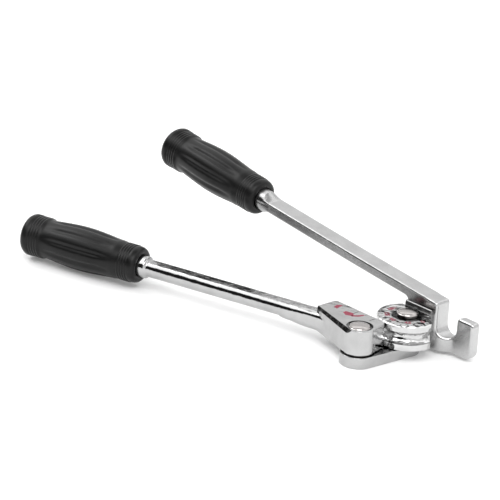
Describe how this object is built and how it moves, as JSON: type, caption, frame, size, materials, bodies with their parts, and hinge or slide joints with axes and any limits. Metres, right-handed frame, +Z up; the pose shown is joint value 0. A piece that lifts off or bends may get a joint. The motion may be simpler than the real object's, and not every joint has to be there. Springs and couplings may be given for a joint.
{
  "type": "lever tube bender",
  "caption": "Hand lever tube bender: form handle with a graduated grooved wheel and tube hook, linked to a lever whose grooved shoe draws the tube round the wheel.",
  "frame": {"origin": "underside of the link plate on the wheel's pivot axis", "axes": "+X along the form handle from its grip towards the hook, +Y from the lever towards the form handle, +Z up along both pivot axes"},
  "size_m": [0.3708, 0.1705, 0.0911],
  "materials": {
    "satin_plate": "satin chrome on a forging",
    "polished_plate": "polished chrome",
    "rivet_steel": "polished steel",
    "screw_steel": "dark steel",
    "bronze": "plain bearing bronze",
    "grip_rubber": "satin black moulded rubber",
    "black_fill": "matt paint in the engraved graduations",
    "red_fill": "matt red paint in the engraved marks"
  },
  "bodies": {
    "form_handle": {"form_handle": "satin_plate", "form_grip": "grip_rubber", "forming_wheel": "polished_plate", "wheel_bush": "bronze", "wheel_screws": "screw_steel", "wheel_dowels": "screw_steel", "dial_ticks": "black_fill"},
    "link": {"link_plate": "polished_plate", "wheel_pivot_pin": "rivet_steel", "lever_pivot_pin": "rivet_steel", "thrust_washers": "bronze"},
    "lever": {"lever_handle": "polished_plate", "lever_bush": "bronze", "lever_grip": "grip_rubber", "index_marks": "red_fill", "index_lines": "black_fill"}
  },
  "joints": [
    {"name": "link_pivot", "type": "hinge", "parent": "form_handle", "child": "link", "pos_m": [0, 0, 0.02], "axis": [0, 0, 1], "range_deg": [-90, 90]},
    {"name": "lever_pivot", "type": "hinge", "parent": "link", "child": "lever", "pos_m": [-0.006, -0.046, 0.02], "axis": [0, 0, 1], "range_deg": [0, 100]}
  ]
}
